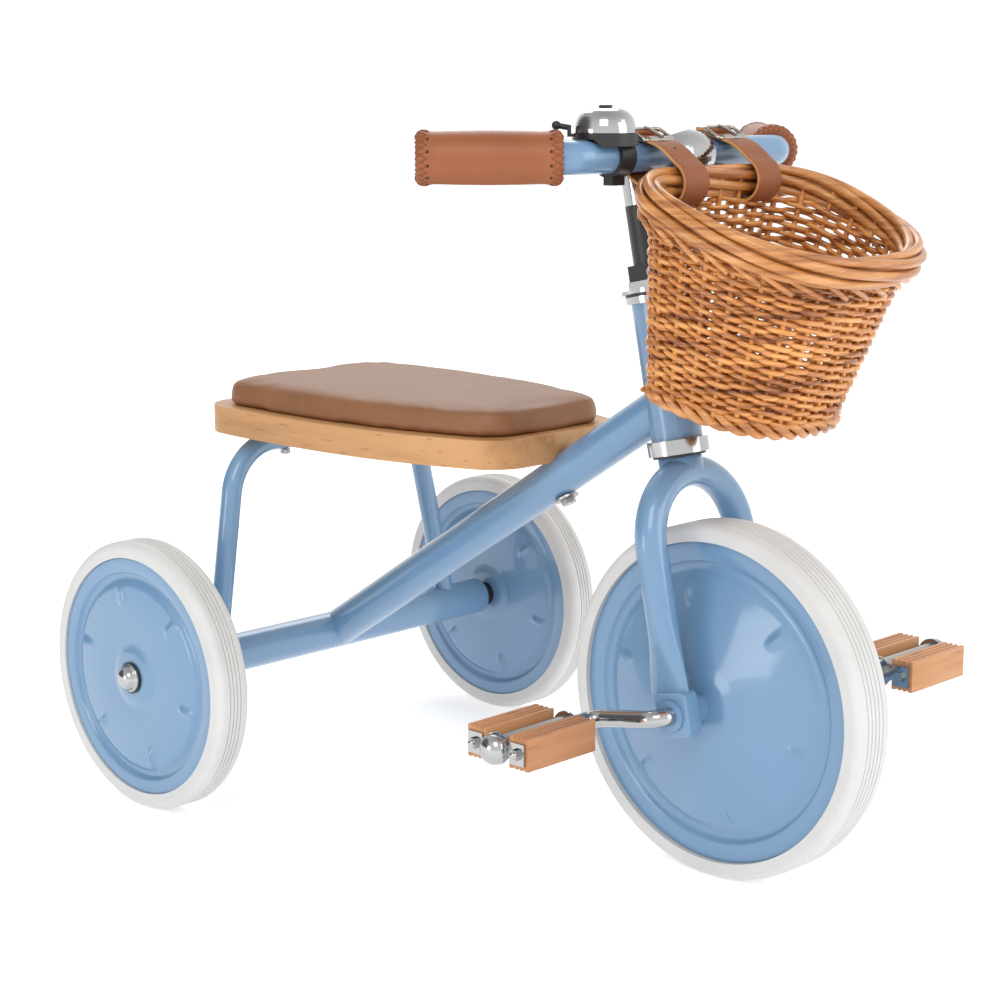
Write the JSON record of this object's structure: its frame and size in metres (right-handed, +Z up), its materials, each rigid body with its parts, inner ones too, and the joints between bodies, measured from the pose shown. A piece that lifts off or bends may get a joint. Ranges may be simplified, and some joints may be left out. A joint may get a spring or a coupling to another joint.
{
  "type": "children's tricycle",
  "caption": "Small steel tricycle with a raked fork, pedals on the front wheel, wooden seat with cushion, swept handlebar, bell and strapped wicker basket.",
  "frame": {"origin": "on the floor at the centre of the bounding box", "axes": "+X forward towards the front wheel, +Y to the rider's left, +Z up"},
  "size_m": [0.632, 0.4362, 0.5304],
  "materials": {
    "paint": "light blue powder coat, satin gloss",
    "tyre": "white moulded rubber, matt",
    "timber": "oiled beech, fine flecked grain",
    "cushion": "smooth brown artificial leather",
    "leather": "tan leather, fine pebbled grain",
    "chrome": "polished chrome plate",
    "steel": "zinc plated steel",
    "black": "satin black",
    "wicker": "varnished peeled willow"
  },
  "bodies": {
    "frame": {"head_tube": "paint", "down_tube": "paint", "rear_axle_tube": "paint", "seat_hoop": "paint", "seat_board": "timber", "seat_cushion": "cushion", "seat_bolts": "steel", "upper_head_cup": "chrome", "lower_head_cup": "chrome", "lower_bearing": "steel", "upper_bearing": "steel", "rear_axle_rod": "steel", "axle_spacers": "black", "axle_washers": "black", "axle_caps": "chrome"},
    "fork": {"steerer_tube": "steel", "fork_arch": "paint", "axle_blocks": "paint", "axle_bushes": "paint", "crown_race": "black", "top_cone": "black", "tab_washer": "steel", "lock_nut": "steel", "column_sleeve": "black", "clamp_collar": "black"},
    "stem": {"quill_stem": "chrome", "stem_barrel": "chrome", "stem_wedge": "steel", "wedge_bolt": "steel", "handlebar_tube": "paint", "left_grip": "leather", "right_grip": "leather", "bell_clamp": "black", "bell_base": "black", "bell_dome": "chrome", "bell_screw": "black"},
    "bell_lever": {"bell_lever": "black"},
    "basket": {"basket": "wicker", "basket_straps": "leather", "strap_buckles": "chrome"},
    "front_wheel": {"front_discs": "paint", "front_tyre": "tyre", "front_hub": "paint", "crank_rod": "chrome"},
    "left_pedal": {"left_pedal_blocks": "timber", "left_pedal_plates": "chrome", "left_pedal_tube": "steel", "left_pedal_bolts": "chrome", "left_pedal_cap": "chrome"},
    "right_pedal": {"right_pedal_blocks": "timber", "right_pedal_plates": "chrome", "right_pedal_tube": "steel", "right_pedal_bolts": "chrome", "right_pedal_cap": "chrome"},
    "left_wheel": {"left_wheel_discs": "paint", "left_tyre": "tyre", "left_hub": "black"},
    "right_wheel": {"right_wheel_discs": "paint", "right_tyre": "tyre", "right_hub": "black"}
  },
  "joints": [
    {"name": "steer", "type": "hinge", "parent": "frame", "child": "fork", "pos_m": [0.182, 0, 0.125], "axis": [-0.2079, 0, 0.9781], "range_deg": [-60, 60]},
    {"name": "stem_height", "type": "slide", "parent": "fork", "child": "stem", "axis": [-0.2079, 0, 0.9781], "range_m": [0, 0.03]},
    {"name": "front_wheel_spin", "type": "hinge", "parent": "fork", "child": "front_wheel", "pos_m": [0.191, 0, 0.125], "axis": [0, 1, 0], "continuous": true},
    {"name": "left_pedal_spin", "type": "hinge", "parent": "front_wheel", "child": "left_pedal", "pos_m": [0.24901, 0.134, 0.13575], "axis": [0, 1, 0], "continuous": true},
    {"name": "right_pedal_spin", "type": "hinge", "parent": "front_wheel", "child": "right_pedal", "pos_m": [0.13299, -0.134, 0.11425], "axis": [0, 1, 0], "continuous": true},
    {"name": "left_wheel_spin", "type": "hinge", "parent": "frame", "child": "left_wheel", "pos_m": [-0.213, 0.1905, 0.103], "axis": [0, 1, 0], "continuous": true},
    {"name": "right_wheel_spin", "type": "hinge", "parent": "frame", "child": "right_wheel", "pos_m": [-0.213, -0.1905, 0.103], "axis": [0, 1, 0], "continuous": true},
    {"name": "bell_lever_swing", "type": "hinge", "parent": "stem", "child": "bell_lever", "pos_m": [0.13232, -0.08937, 0.51119], "axis": [0, 0, 1], "range_deg": [0, 25], "stiffness_Nm_per_rad": 0.02, "springref_deg": -11.46},
    {"name": "basket_swing", "type": "hinge", "parent": "stem", "child": "basket", "pos_m": [0.14378, 0, 0.49719], "axis": [0, 1, 0], "range_deg": [-40, 0]}
  ]
}
